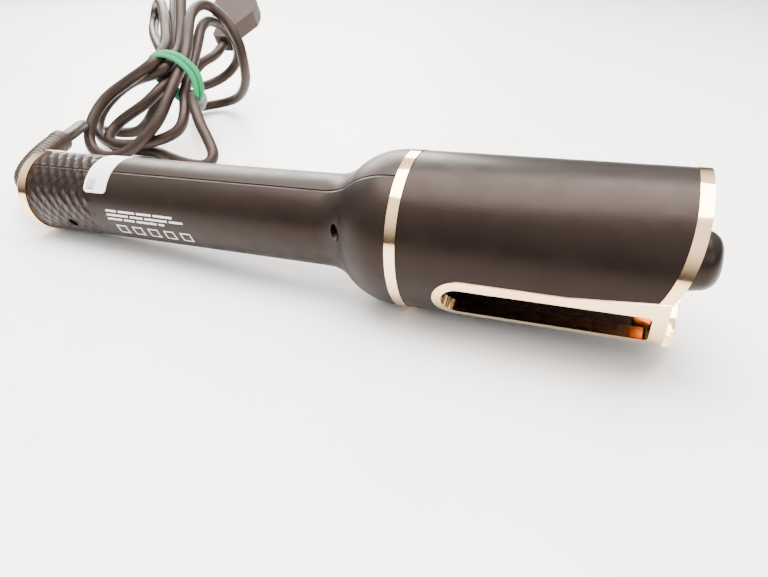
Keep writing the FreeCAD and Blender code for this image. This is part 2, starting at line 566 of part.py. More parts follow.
def rod_x(x0, x1, radius, angle, r):
    """Rod along X at a radius from the axis, at an angle from +Z."""
    y, z = radius * math.sin(math.radians(angle)), radius * math.cos(math.radians(angle))
    return Part.makeCylinder(r, x1 - x0, Vector(x0, y, z), AXIS)


# ---- cord swivel ----------------------------------------------------------------------------
def swivel():
    """Swivel drum with two contact rings, and the socket with its contacts in the tail."""
    collar_x = TAIL_X - SPIGOT_L - FIT + CLEAR
    drum = join(disc(SWIVEL_OUT_X, SWIVEL_IN_X, SWIVEL_R),
                disc(collar_x, collar_x + 2.0, SWIVEL_COLLAR_R))
    wire_way = disc(SWIVEL_OUT_X - 1, SWIVEL_IN_X + 1, 2.5)
    curler["swivel_drum"] = drum.cut(wire_way)
    ring_x = (SWIVEL_IN_X - 4, SWIVEL_IN_X - 9)
    curler["swivel_contact_rings"] = Part.makeCompound(
        [tube(x - 1.2, x + 1.2, SWIVEL_R + 0.8, SWIVEL_R + SLIP) for x in ring_x])
    finger_z = SWIVEL_R + 0.8 + CLEAR
    socket_r = SWIVEL_COLLAR_R + CLEAR + 2.2
    socket = join(tube(collar_x + 2.0 + CLEAR, SWIVEL_IN_X + 2, socket_r, SWIVEL_R + 0.8 + CLEAR),
                  disc(SWIVEL_IN_X + 0.5, SWIVEL_IN_X + 2, socket_r),
                  *[rod_x(SWIVEL_IN_X - 6, SWIVEL_IN_X + 2, socket_r + 0.5, a, 1.2)
                    for a in (90, 270)])
    window = block(SWIVEL_IN_X - 12, SWIVEL_IN_X - 1, -1.6, 1.6, 0, HEAD_R)
    curler["swivel_socket"] = socket.cut(window)
    curler["contact_fingers"] = Part.makeCompound(
        [block(x - 0.8, x + 0.8, -1.4, 1.4, finger_z, socket_r + 1.5) for x in ring_x])


# ---- cord on the table ------------------------------------------------------------------------
# Routes are points in the table frame, as offsets along X and Y from where the swivel ends, and
# heights above the table.
RELIEF_ROUTE = [(-12, 1, 18.4), (-22, 14, 20.6), (-28, 31, 23.6), (-31, 48, 26.0)]
LEAD_ROUTE = [(-38, 62, 25.0), (-47, 76, 22.0), (-50, 94, 16.0)]
RETURN_ROUTE = [(-46, 184, 8.0), (-29, 163, 13.0), (-8, 147, 22.0), (1, 132, 37.0)]
PLUG_LEAD_ROUTE = [(-42, 200, 18.0), (-44, 184, 28.0), (-36, 186, 42.0)]
PLUG_AT = (-30, 210, 51.0)
PLUG_TOWARDS = (-0.12, 0.84, 0.53)
# (left end, right end, half thickness) of each section of the tied hank, from its foot to its top
# folds, and of the loose loops beside it, from their top to where they lie on the table
HANK_SECTIONS = [((-52, 80, 5), (34, 87, 5), 4.5), ((-63, 92, 18), (35, 95, 11), 10.0),
                 ((-58, 105, 32), (22, 104, 24), 12.0), ((-42, 112, 43), (14, 111, 30), 11.0),
                 ((-23, 116, 55), (6, 118, 32), 8.0), ((-22, 124, 58), (7, 126, 35), 8.0),
                 ((-40, 145, 62), (0, 142, 52), 11.0), ((-62, 170, 70), (-14, 168, 73), 13.0),
                 ((-72, 190, 78), (-20, 184, 80), 10.0), ((-68, 210, 94), (-50, 208, 97), 5.0)]
TIE_AFTER = 4
TIE_T = 2.4
RIM_SIDES = 20
LOOP_SECTIONS = [((-26, 184, 76), (-6, 188, 76), 7.0), ((-21, 190, 58), (5, 194, 58), 12.0),
                 ((-36, 194, 38), (6, 200, 38), 15.0), ((-50, 194, 22), (0, 200, 22), 17.0),
                 ((-54, 188, 5), (-14, 198, 5), 18.0)]
PLUG_L, PLUG_W, PLUG_T = 44.0, 35.3, 13.7
PLUG_NECK_W, PLUG_FACE_W = 13.0, 31.0
PLUG_NECK_L, PLUG_WIDE_X0, PLUG_WIDE_X1 = 11.0, 28.0, 36.0
PIN_ROOT_R, PIN_ROOT_L = 1.5, 8.0
PIN_R, PIN_L, PIN_SPACING = 2.0, 19.0, 18.6


def rounded_route(points, name):
    """Straight runs joined by tangent arcs, each as large as its two runs allow."""
    edges, radii, at = [], [], points[0]
    for before, corner, after in zip(points, points[1:], points[2:]):
        back, ahead = before - corner, after - corner
        half_turn = (math.pi - back.getAngle(ahead)) / 2
        reach = 0.45 * min(back.Length, ahead.Length)
        radii.append(reach / math.tan(half_turn))
        a = corner + back.normalize() * reach
        b = corner + ahead.normalize() * reach
        inward = (a + b) / 2 - corner
        sagitta = reach / math.sin(half_turn) - radii[-1]
        middle = corner + inward.normalize() * sagitta
        edges += [Part.LineSegment(at, a).toShape(), Part.Arc(a, middle, b).toShape()]
        at = b
    edges.append(Part.LineSegment(at, points[-1]).toShape())
    print(name, "bend radii", [round(r, 1) for r in radii])
    return Part.Wire(edges)


def round_tube(points, r, name):
    path = rounded_route(points, name)
    start = Part.Wire(Part.makeCircle(r, points[0], points[1] - points[0]))
    pipe = path.makePipeShell([start], True, True)
    print(name, "volume / (section x length)", round(pipe.Volume / (math.pi * r * r * path.Length), 4),
          "length", round(path.Length, 1))
    return pipe


def table_point(offset, exit_point):
    return Vector(exit_point.x + offset[0], exit_point.y + offset[1], offset[2])


def sections_at(sections, exit_point):
    """Left end, right end and half thickness of each section, in the table frame."""
    return [(table_point(left, exit_point), table_point(right, exit_point), half_t)
            for left, right, half_t in sections]


def rims(sections, grow=0.0):
    """A many-sided ellipse across the run of the cord at each section."""
    found = []
    for k, (left, right, half_t) in enumerate(sections):
        before = sections[max(k - 1, 0)]
        after = sections[min(k + 1, len(sections) - 1)]
        run = after[0] + after[1] - before[0] - before[1]
        half = (right - left) / 2
        across = run.cross(half).normalize() * (half_t + grow)
        half *= 1 + grow / half.Length
        turns = [math.tau * i / RIM_SIDES for i in range(RIM_SIDES + 1)]
        found.append(Part.makePolygon([(left + right) / 2 + half * math.cos(a)
                                       + across * math.sin(a) for a in turns]))
    return found


def bundle(wires):
    """Closed solid with the outer shape of a bundle of cord."""
    return Part.makeLoft(wires, True, True)


def cord(exit_point, direction):
    """Strain relief, lead, tied hank with its tie, loose loops, and the plug on its lead."""
    relief_path = [exit_point] + [table_point(p, exit_point) for p in RELIEF_ROUTE]
    body = round_tube(relief_path, RELIEF_END_R, "cord_relief")
    root = Part.makeCylinder(RELIEF_ROOT_R, 6, exit_point, direction)
    end_dir = (relief_path[-1] - relief_path[-2]).normalize()
    collar = Part.makeCylinder(RELIEF_END_R + 0.6, 4, relief_path[-1] - end_dir * 4, end_dir)
    cord_set["cord_relief"] = join(body, root, collar)
    lead = [relief_path[-1]] + [table_point(p, exit_point) for p in LEAD_ROUTE]
    cord_set["power_cord"] = round_tube(lead, CORD_R, "power_cord")
    hank = sections_at(HANK_SECTIONS, exit_point)
    cord_set["cord_hank"] = bundle(rims(hank))
    waist = slice(TIE_AFTER, TIE_AFTER + 2)
    cord_set["cord_tie"] = bundle(rims(hank, TIE_T)[waist]).cut(bundle(rims(hank, CLEAR)[waist]))
    loops = bundle(rims(sections_at(LOOP_SECTIONS, exit_point)))
    back = round_tube([table_point(p, exit_point) for p in RETURN_ROUTE], CORD_R, "cord_return")
    cord_set["cord_loops"] = loops
    cord_set["cord_return"] = back
    plug_at = table_point(PLUG_AT, exit_point)
    lead = [table_point(p, exit_point) for p in PLUG_LEAD_ROUTE] + [plug_at]
    cord_set["plug_lead"] = round_tube(lead, CORD_R, "plug_lead")
    plug(plug_at)


def plug(at):
    """Flat two-pin plug: it widens from the cord, then draws in a little to the pin face."""
    side = [(0, PLUG_NECK_W / 2), (PLUG_NECK_L, PLUG_NECK_W / 2), (PLUG_WIDE_X0, PLUG_W / 2),
            (PLUG_WIDE_X1, PLUG_W / 2), (PLUG_L, PLUG_FACE_W / 2)]
    outline = lines(side + [(x, -y) for x, y in reversed(side)] + side[:1])
    body = Part.Face(Part.Wire(outline)).extrude(Vector(0, 0, PLUG_T))
    body.translate(Vector(0, 0, -PLUG_T / 2))
    long_edges = [e for e in body.Edges if abs(e.tangentAt(e.FirstParameter).z) > 0.99]
    body = body.makeFillet(2.5, long_edges)
    pins, holes = [], []
    for y in (-PIN_SPACING / 2, PIN_SPACING / 2):
        pin = Part.makeCylinder(PIN_R, PIN_L, Vector(PLUG_L, y, 0), AXIS)
        tip = [e for e in pin.Edges if e.BoundBox.XMin > PLUG_L + PIN_L - 0.1]
        root_at = Vector(PLUG_L - PIN_ROOT_L, y, 0)
        root = Part.makeCylinder(PIN_ROOT_R, PIN_ROOT_L, root_at, AXIS)
        pins.append(join(pin.makeFillet(1.0, tip), root))
        holes.append(Part.makeCylinder(PIN_ROOT_R + SLIP, PIN_ROOT_L, root_at, AXIS))
    nodes = {"plug_body": body.cut(holes), "plug_pins": Part.makeCompound(pins)}
    for name, shape in nodes.items():
        shape.Placement = plug_placement(at)
        cord_set[name] = shape


def plug_placement(at):
    """Turns the plug's +X to PLUG_TOWARDS, with its width level."""
    return Placement(at, Rotation(Vector(*PLUG_TOWARDS), Vector(), UP, "XZY"))


# ---- assembly -------------------------------------------------------------------------------
def lay_down():
    """Placement of the curler's frame in the table frame."""
    roll = Rotation(AXIS, -90 - SLOT_ELEVATION)
    turn = Rotation(Vector(0, 1, 0), -TILT).multiply(roll)
    lying = Part.makeCompound([s for s in curler.values()])
    lying.Placement = Placement(Vector(), turn)
    box = lying.optimalBoundingBox(False, False)
    tilt = math.radians(TILT)
    height = NECK_RING_R * math.cos(tilt) - RESTS_ON_X * math.sin(tilt)
    return Placement(Vector(-(box.XMin + box.XMax) / 2, -(box.YMin + box.YMax) / 2, height), turn)


def main():
    handle_shells()
    control_panel()
    power_board()
    screws()
    sticker()
    rings()
    chamber()
    barrel()
    drive_train()
    swivel()
    place = lay_down()
    exit_point = place.multVec(Vector(SWIVEL_OUT_X, 0, 0))
    direction = place.Rotation.multVec(Vector(-1, 0, 0))
    cord(exit_point, direction)
    os.makedirs("parts", exist_ok=True)
    nodes = {name: moved(shape, place) for name, shape in curler.items()}
    nodes.update(cord_set)
    for name, shape in nodes.items():
        shape.exportStep(os.path.join("parts", name + ".step"))
    return place, exit_point


def moved(shape, place):
    copy = shape.copy()
    copy.Placement = place.multiply(copy.Placement)
    return copy


placement, cord_exit = main()
print("tilt", round(TILT, 3), "nodes", len(curler) + len(cord_set))
print("neck ring centre", placement.Base, "cord exit", cord_exit)
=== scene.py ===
"""Looks of the automatic hair curler: its finishes, its cord and the details left to Blender.

Lengths are in metres unless a comment says mm. Angles round the curler are in degrees.
"""
import math

import bpy
from mathutils import Matrix, Vector


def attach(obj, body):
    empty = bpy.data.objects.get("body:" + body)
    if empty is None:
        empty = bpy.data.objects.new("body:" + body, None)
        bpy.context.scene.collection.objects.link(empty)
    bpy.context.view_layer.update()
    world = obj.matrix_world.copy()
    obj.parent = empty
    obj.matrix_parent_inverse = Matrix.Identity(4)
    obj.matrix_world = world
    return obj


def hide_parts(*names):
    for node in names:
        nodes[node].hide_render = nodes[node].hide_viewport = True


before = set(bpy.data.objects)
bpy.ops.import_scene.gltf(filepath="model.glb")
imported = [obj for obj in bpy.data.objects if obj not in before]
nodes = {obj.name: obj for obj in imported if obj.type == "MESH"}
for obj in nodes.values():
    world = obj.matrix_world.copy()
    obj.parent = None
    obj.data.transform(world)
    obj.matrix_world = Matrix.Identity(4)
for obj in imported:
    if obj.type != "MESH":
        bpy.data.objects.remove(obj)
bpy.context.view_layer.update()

# ---- the curler's axis, in metres ----------------------------------------------------------
RING = Vector((0.045577, 0.000137, 0.030365))      # centre of the neck ring
TILT = math.radians(3.461)
ALONG = Vector((math.cos(TILT), 0, math.sin(TILT)))   # towards the nose
RISE = Vector((-math.sin(TILT), 0, math.cos(TILT)))
FACING = Vector((0, -1, 0))
EXIT = Vector((-0.150564, 0.000137, 0.018503))     # where the cord leaves the swivel
CORD_D = 0.007


def handle_r(x):
    """Radius of the straight part of the handle at x mm from the neck ring."""
    return 18.2 + (x + 184.7) / 150.7 * 0.6


def on_curler(x, elevation, r):
    """Point x mm along the axis, at r mm from it; elevation 0 looks to -Y and 90 up."""
    e = math.radians(elevation)
    return RING + (ALONG * x + (FACING * math.cos(e) + RISE * math.sin(e)) * r) / 1000


# ---- camera ----------------------------------------------------------------------------------
camera = bpy.data.objects.new("camera", bpy.data.cameras.new("camera"))
camera.data.lens = 28.41
camera.data.sensor_width = 36
camera.data.clip_start = 0.01
right = Vector((0.93226, 0.36180, 0))
up = Vector((-0.18949, 0.48826, 0.85188))
turn = Matrix((right, up, right.cross(up))).transposed().to_4x4()
camera.matrix_world = Matrix.Translation((0.11047, -0.20223, 0.13366)) @ turn
bpy.context.collection.objects.link(camera)
bpy.context.scene.camera = camera


# ---- materials --------------------------------------------------------------------------------
WARM = (1.0, 0.76, 0.66, 1)     # tint of the sheen on the black plastics


class Shader:
    """A material under construction: a Principled shader and the nodes that feed it."""

    def __init__(self, name, **plain):
        self.made = bpy.data.materials.new(name)
        self.made.use_nodes = True
        self.tree = self.made.node_tree
        self.bsdf = self.tree.nodes["Principled BSDF"]
        self.place = self.tree.nodes.new("ShaderNodeTexCoord").outputs["Object"]
        for socket, value in plain.items():
            self.bsdf.inputs[socket.replace("_", " ")].default_value = value

    def node(self, kind, inputs=(), **settings):
        """A new node; an input is a plain value or the socket that feeds it."""
        made = self.tree.nodes.new(kind)
        for key, value in settings.items():
            setattr(made, key, value)
        for key, value in dict(inputs).items():
            if isinstance(value, bpy.types.NodeSocket):
                self.tree.links.new(value, made.inputs[key])
            else:
                made.inputs[key].default_value = value
        return made

    def math(self, operation, a, b=0.0):
        return self.node("ShaderNodeMath", {0: a, 1: b}, operation=operation).outputs[0]

    def noise(self, scale, detail=3.0, rough=0.5, stretch=None):
        """Noise with this many blotches to the metre, drawn out along some axes by stretch."""
        place = self.place
        if stretch:
            place = self.node("ShaderNodeMapping", {0: place, 3: stretch}).outputs[0]
        return self.node("ShaderNodeTexNoise", {"Vector": place, "Scale": scale,
                                                "Detail": detail, "Roughness": rough}).outputs[0]

    def spread(self, value, low, high):
        """A value in 0.3..0.7, as noise gives, spread over low..high."""
        return self.node("ShaderNodeMapRange", {0: value, 1: 0.3, 2: 0.7, 3: low,
                                                4: high}).outputs[0]

    def colour(self, fac, dark, light):
        """Base colour between dark at 0 and light at 1."""
        mix = self.node("ShaderNodeMix", {0: fac, 6: (*dark, 1), 7: (*light, 1)},
                        data_type="RGBA")
        self.tree.links.new(mix.outputs[2], self.bsdf.inputs["Base Color"])
        return mix.outputs[2]

    def roughness(self, value):
        self.tree.links.new(value, self.bsdf.inputs["Roughness"])

    def bump(self, height, depth, strength=1.0, under=None):
        """Relief of this depth in metres, laid over an earlier relief if one is given."""
        inputs = {"Height": height, "Distance": depth, "Strength": strength}
        if under:
            inputs["Normal"] = under
        made = self.node("ShaderNodeBump", inputs).outputs[0]
        self.tree.links.new(made, self.bsdf.inputs["Normal"])
        return made


def grained(name, dark, light, rough, grain=900.0, depth=0.00004, stretch=None, **plain):
    """A moulded or cast finish: slow colour drift, fine grain, uneven gloss."""
    s = Shader(name, **plain)
    s.colour(s.spread(s.noise(35.0), 0, 1), dark, light)
    s.roughness(s.spread(s.noise(120.0, 4.0), rough - 0.05, rough + 0.07))
    s.bump(s.noise(grain, 2.0, 0.6, stretch), depth)
    return s.made


TAIL_R = 0.0184                 # the handle's radius at the dimples
DIMPLES_PER_M = 205
DIMPLE_SQUEEZE = 1.35           # dimples are this much longer round the handle than along it
DIMPLE_DEPTH = 0.0010
DIMPLES_FROM_X, DIMPLES_FULL_X = -0.1465, -0.151
SEAM_NORMAL = (0.898, 0.44)     # the seam's plane between the shells: towards the front, and down
SEAM_OFFSET, SEAM_CHAMFER, SEAM_DEPTH = 0.0014, 0.0006, 0.0004


def shell_plastic():
    """Satin black plastic, dimpled all round the tail, with eased edges at the seam."""
    s = Shader("shell_plastic", Specular_IOR_Level=0.21, Specular_Tint=WARM)
    s.colour(s.spread(s.noise(28.0), 0, 1), (0.0060, 0.0037, 0.0028), (0.0090, 0.0058, 0.0044))
    s.roughness(s.spread(s.noise(160.0, 4.0), 0.34, 0.44))
    fine = s.bump(s.noise(1400.0, 2.0, 0.6), 0.00002, 0.6)
    out = s.node("ShaderNodeVectorMath", {0: s.place, 1: RING}, operation="SUBTRACT").outputs[0]
    x, rise, front = (s.node("ShaderNodeVectorMath", {0: out, 1: way},
                             operation="DOT_PRODUCT").outputs["Value"]
                      for way in (ALONG, RISE, FACING))
    arc = s.math("MULTIPLY", s.math("ARCTAN2", rise, front), TAIL_R)
    flat = s.node("ShaderNodeCombineXYZ", {0: s.math("MULTIPLY", x, DIMPLE_SQUEEZE),
                                           1: arc}).outputs[0]
    cells = s.node("ShaderNodeMapping", {0: flat, 2: (0, 0, math.radians(45)),
                                         3: (DIMPLES_PER_M, DIMPLES_PER_M, 1)}).outputs[0]
    dimple = s.node("ShaderNodeTexVoronoi", {"Vector": cells, "Scale": 1.0, "Randomness": 0.22},
                    voronoi_dimensions="2D").outputs["Distance"]
    edge = s.math("MULTIPLY", s.math("SINE", s.math("MULTIPLY", arc, 1000.0)), 0.0022)
    fade = s.node("ShaderNodeMapRange", {0: s.math("ADD", x, edge), 1: DIMPLES_FROM_X,
                                         2: DIMPLES_FULL_X, 3: 0.0, 4: 1.0}).outputs[0]
    dimpled = s.bump(s.math("MULTIPLY", dimple, fade), DIMPLE_DEPTH, 1.0, fine)
    across = s.math("SUBTRACT", s.math("MULTIPLY", front, SEAM_NORMAL[0]),
                    s.math("MULTIPLY", rise, SEAM_NORMAL[1]))
    from_seam = s.math("ABSOLUTE", s.math("SUBTRACT", across, SEAM_OFFSET))
    chamfer = s.node("ShaderNodeMapRange", {0: from_seam, 1: 0.0001, 2: SEAM_CHAMFER, 3: 0.0,
                                            4: 1.0}).outputs[0]
    s.bump(chamfer, SEAM_DEPTH, 1.0, dimpled)
    return s.made


def rose_gold():
    """Polished plating with slight waviness."""
    s = Shader("rose_gold_plating", Metallic=1.0)
    s.colour(s.spread(s.noise(60.0), 0, 1), (0.96, 0.63, 0.35), (1.0, 0.72, 0.42))
    s.roughness(s.spread(s.noise(300.0, 4.0), 0.05, 0.13))
    s.bump(s.noise(220.0, 2.0), 0.00001, 0.5)
    return s.made


def cord_jacket():
    """PVC cord: even black with dust, small scuffs and a faint fine grain."""
    s = Shader("cord_jacket", Specular_IOR_Level=0.34, Specular_Tint=WARM)
    s.colour(s.spread(s.noise(90.0, 5.0), 0, 1), (0.011, 0.0070, 0.0056), (0.020, 0.0135, 0.0110))
    s.roughness(s.spread(s.noise(400.0, 4.0), 0.34, 0.50))
    s.bump(s.noise(1600.0, 3.0), 0.00003, 0.7)
    return s.made


def brushed(name, dark, light, rough, stretch=(1, 12, 12)):
    """Machined or drawn metal with its marks across or along the axis."""
    s = Shader(name, Metallic=1.0)
    s.colour(s.spread(s.noise(50.0), 0, 1), dark, light)
    s.roughness(s.spread(s.noise(200.0, 4.0, 0.6, stretch), rough - 0.06, rough + 0.08))
    s.bump(s.noise(500.0, 2.0, 0.6, stretch), 0.00002, 0.7)
    return s.made


def circuit_board():
    """Green board with a pattern of tracks."""
    s = Shader("circuit_board", IOR=1.5)
    tracks = s.node("ShaderNodeTexBrick", {"Vector": s.place, "Scale": 260.0,
                                           "Mortar Size": 0.03}).outputs["Fac"]
    s.colour(tracks, (0.012, 0.10, 0.035), (0.05, 0.23, 0.09))
    s.roughness(s.spread(s.noise(300.0), 0.28, 0.42))
    s.bump(tracks, 0.00004)
    return s.made


def lcd():
    """Grey-green liquid crystal panel with faint cell lines."""
    s = Shader("lcd_panel", IOR=1.5)
    lines = s.node("ShaderNodeTexWave", {"Vector": s.place, "Scale": 480.0}).outputs["Fac"]
    s.colour(lines, (0.30, 0.34, 0.27), (0.42, 0.47, 0.38))
    s.roughness(s.spread(s.noise(200.0), 0.18, 0.30))
    return s.made


shell = shell_plastic()
gold = rose_gold()
jacket = cord_jacket()
gloss_black = grained("gloss_black", (0.006, 0.0045, 0.004), (0.010, 0.008, 0.007), 0.20, 500.0)
inner_black = grained("heat_resin", (0.008, 0.007, 0.007), (0.016, 0.014, 0.013), 0.45, 1200.0)
ceramic = grained("ceramic_coat", (0.035, 0.020, 0.016), (0.060, 0.038, 0.030), 0.24, 1500.0,
                  0.00002, Coat_Weight=0.4)
steel = brushed("steel", (0.50, 0.50, 0.51), (0.66, 0.66, 0.66), 0.28)
alloy = brushed("aluminium", (0.70, 0.70, 0.70), (0.82, 0.82, 0.82), 0.30)
bronze = brushed("bronze", (0.52, 0.34, 0.18), (0.66, 0.45, 0.26), 0.34)
brass = brushed("brass", (0.78, 0.58, 0.28), (0.90, 0.70, 0.38), 0.22)
nickel = brushed("nickel", (0.72, 0.70, 0.66), (0.84, 0.82, 0.78), 0.18)
nylon = grained("gear_nylon", (0.68, 0.66, 0.58), (0.80, 0.78, 0.71), 0.42,
                Subsurface_Weight=0.1)
carbon = grained("carbon", (0.020, 0.020, 0.021), (0.055, 0.055, 0.057), 0.55, 2500.0, 0.00006)
parts_grey = grained("component_body", (0.05, 0.05, 0.055), (0.30, 0.27, 0.22), 0.40)
porcelain = grained("porcelain", (0.74, 0.72, 0.68), (0.88, 0.87, 0.84), 0.30, 1400.0)
silicone = grained("keypad_silicone", (0.30, 0.30, 0.30), (0.40, 0.40, 0.40), 0.55, 1200.0)
button_black = grained("button_rubber", (0.030, 0.027, 0.026), (0.050, 0.045, 0.043), 0.48,
                       2000.0, 0.00005)
glass = grained("display_glass", (0.05, 0.055, 0.06), (0.08, 0.085, 0.09), 0.07, 200.0, 0.000004,
                Transmission_Weight=0.7, IOR=1.5)
paper = grained("label_paper", (0.80, 0.79, 0.77), (0.90, 0.89, 0.87), 0.50, 2600.0, 0.00002)
ink = grained("label_ink", (0.05, 0.045, 0.04), (0.10, 0.09, 0.085), 0.55, 2600.0, 0.00002)
print_white = grained("screen_print", (0.60, 0.58, 0.56), (0.78, 0.76, 0.74), 0.45, 2600.0,
                      0.00002)
tie_green = grained("tie_green", (0.0003, 0.17, 0.055), (0.001, 0.22, 0.075), 0.50, 1500.0, 0.00005,
                    Specular_IOR_Level=0.2)
socket_black = grained("socket_nylon", (0.030, 0.029, 0.028), (0.055, 0.052, 0.050), 0.50)

FINISHES = {
    shell: ["front_shell", "back_shell"],
    grained("chamber_plastic", (0.0050, 0.0031, 0.0024), (0.0078, 0.0050, 0.0038), 0.33, 1300.0,
            0.00002, Specular_IOR_Level=0.19, Specular_Tint=WARM): ["chamber_shell", "nose_cap"],
    gold: ["neck_ring", "tail_ring", "mouth_trim"],
    gloss_black: ["tail_cap", "panel_plate", "swivel_drum"],
    inner_black: ["bulkhead", "barrel_hub", "gear_frame", "brush_holder"],
    ceramic: ["barrel_tube", "chamber_liner"],
    steel: ["motor_can", "shell_screws", "motor_shaft", "heater_plate", "hub_shaft"],
    alloy: ["motor_gearbox"],
    bronze: ["front_bearing", "rear_bearing"],
    brass: ["slip_rings", "swivel_contact_rings", "contact_fingers"],
    nickel: ["plug_pins"],
    nylon: ["drive_gear", "motor_pinion"],
    carbon: ["carbon_brushes"],
    circuit_board(): ["control_board", "power_board"],
    parts_grey: ["power_components"],
    porcelain: ["heater_blocks"],
    silicone: ["keypad"],
    button_black: ["power_button", "temperature_button", "timer_button", "rotate_left_button",
                   "rotate_right_button"],
    glass: ["display_window"],
    lcd(): ["display_module"],
    paper: ["rating_sticker"],
    socket_black: ["swivel_socket", "slip_ring_sleeve"],
    grained("plug_rubber", (0.012, 0.0080, 0.0066), (0.020, 0.0140, 0.0115), 0.40, 1500.0,
            0.00004, Specular_IOR_Level=0.3, Specular_Tint=WARM): ["plug_body"],
}
for material, names in FINISHES.items():
    for name in names:
        for slot in nodes[name].material_slots:
            slot.material = material


# ---- building helpers -------------------------------------------------------------------------
def finish_piece(piece, material, body):
    """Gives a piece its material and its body."""
    piece.data.materials.append(material)
    bpy.context.collection.objects.link(piece)
    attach(piece, body)
    return piece


def mesh_piece(name, points, faces, material, body, slot):
    """A smooth piece made from points and faces."""
    mesh = bpy.data.meshes.new(name)
    mesh.from_pydata(points, [], faces)
    mesh.polygons.foreach_set("use_smooth", [True] * len(mesh.polygons))
    mesh.update()
    return finish_piece(bpy.data.objects.new(name, mesh), material, body)


def spline_curve(name, points):
    """A curve of one open NURBS spline with these control points."""
    curve = bpy.data.curves.new(name, "CURVE")
    curve.dimensions = "3D"
    spline = curve.splines.new("NURBS")
    spline.points.add(len(points) - 1)
    for target, point in zip(spline.points, points):
        target.co = (*point, 1)
    spline.order_u = 3
    spline.use_endpoint_u = True
    curve.resolution_u = 10
    return curve


def swept_rings(path, radii, sides):
    """Rings of points round a path, turned as little as possible from one to the next."""
    rings, side = [], None
    for k, (at, r) in enumerate(zip(path, radii)):
        run = (path[min(k + 1, len(path) - 1)] - path[max(k - 1, 0)]).normalized()
        side = run.orthogonal() if side is None else side - run * side.dot(run)
        side.normalize()
        other = run.cross(side)
        rings.append([at + (side * math.cos(math.tau * i / sides)
                            + other * math.sin(math.tau * i / sides)) * r for i in range(sides)])
    return rings


def skin(rings, closed=False, caps=True):
    """Points and faces of a surface through rings of equal size."""
    n = len(rings[0])
    points = [p for ring in rings for p in ring]
    last = len(rings) if closed else len(rings) - 1
    faces = [(k * n + i, k * n + (i + 1) % n, (k + 1) % len(rings) * n + (i + 1) % n,
              (k + 1) % len(rings) * n + i) for k in range(last) for i in range(n)]
    if caps and not closed:
        faces += [tuple(reversed(range(n))), tuple(range(len(points) - n, len(points)))]
    return points, faces


def off(x, y, z):
    """Point at an offset in mm from the cord's exit, at a height in mm above the table."""
    return Vector((EXIT.x + x / 1000, EXIT.y + y / 1000, z / 1000))


# ---- cord -----------------------------------------------------------------------------------
RELIEF = [(0, 0, 18.5), (-12, 1, 18.4), (-22, 14, 20.6), (-28, 31, 23.6), (-31, 48, 26)]
LEAD = [(-38, 62, 25), (-46, 75, 24), (-57, 88, 19), (-66, 101, 12)]
FIRST_RISE = [(-66, 114, 7), (-57, 121, 5), (-46, 121, 7), (-36, 120, 14), (-28, 119, 23),
              (-20, 120, 33), (-15, 122, 43), (-16, 126, 50), (-22, 134, 54), (-34, 144, 57)]
LEFT_FOLD = [(-51, 161, 60), (-63, 174, 63), (-73, 189, 67), (-73, 194, 77), (-59, 183, 82),
             (-43, 165, 76), (-31, 149, 69), (-19, 132, 62)]
OUTER_LOOP = [(-16, 118, 57), (-21, 112, 52), (-37, 110, 43), (-49, 101, 34), (-52, 88, 22),
              (-50, 81, 12), (-42, 77, 5.5), (-28, 78, 4.5), (-18, 84, 10), (-11, 90, 17),
              (-5, 98, 26), (-4, 108, 37), (-4, 119, 47)]
RIGHT_FOLD = [(-3, 130, 57), (-11, 146, 69), (-21, 165, 79), (-22, 183, 83), (-11, 189, 73),
              (-1, 188, 58), (2, 187, 43), (-4, 196, 27), (-20, 208, 12), (-37, 212, 5.5),
              (-49, 200, 4.5), (-46, 182, 7), (-29, 162, 13), (-10, 147, 22)]
TABLE_LOOP = [(2, 134, 33), (4, 121, 37), (13, 110, 32), (21, 103, 24), (28, 99, 17),
              (36, 93, 9), (33, 87, 4), (19, 87, 3.8), (4, 92, 3.8), (-12, 99, 3.8),
              (-29, 97, 4), (-40, 90, 6), (-45, 92, 12), (-42, 101, 19), (-31, 104, 26),
              (-21, 106, 32), (-15, 113, 39)]
TALL_FOLD = [(-13, 122, 44), (-15, 133, 49), (-28, 150, 57), (-40, 168, 67), (-56, 193, 79),
             (-66, 209, 84), (-68, 215, 94), (-57, 207, 101), (-43, 189, 94), (-35, 174, 82),
             (-26, 159, 69), (-16, 141, 59.5), (-13, 129, 56)]
INNER_LOOP = [(-11, 119, 52), (-19, 117, 48), (-40, 119, 42), (-55, 113, 31), (-61, 104, 20),
              (-55, 95, 11), (-43, 90, 9), (-28, 89, 9), (-14, 94, 11), (-1, 98, 15),
              (6, 103, 20), (5, 111, 29), (-3, 122, 37)]
PLUG_LOOP = [(-6, 138, 49), (-12, 156, 61), (-17, 168, 69), (-20, 182, 72), (-18, 196, 66),
             (-16, 207, 54), (-20, 214, 41), (-29, 213, 29), (-40, 202, 22), (-45, 189, 22),
             (-42, 181, 31), (-36, 188, 41), (-29, 200, 45), (-30, 210, 51)]
ROUTE = (RELIEF + LEAD + FIRST_RISE + LEFT_FOLD + OUTER_LOOP + RIGHT_FOLD + TABLE_LOOP
         + TALL_FOLD + INNER_LOOP + PLUG_LOOP)
route = [off(*p) for p in ROUTE]

line = bpy.data.objects.new("route_line", spline_curve("route_line", route))
centreline = [v.co.copy() for v in bpy.data.meshes.new_from_object(line).vertices]
bpy.data.objects.remove(line)

cord_curve = spline_curve("mains_cord", route)
cord_curve.bevel_depth = CORD_D / 2
cord_curve.bevel_resolution = 5
cord_curve.use_fill_caps = True
cord = finish_piece(bpy.data.objects.new("mains_cord", cord_curve), jacket, "cord_set")
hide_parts("power_cord", "cord_hank", "cord_loops", "cord_return", "plug_lead")

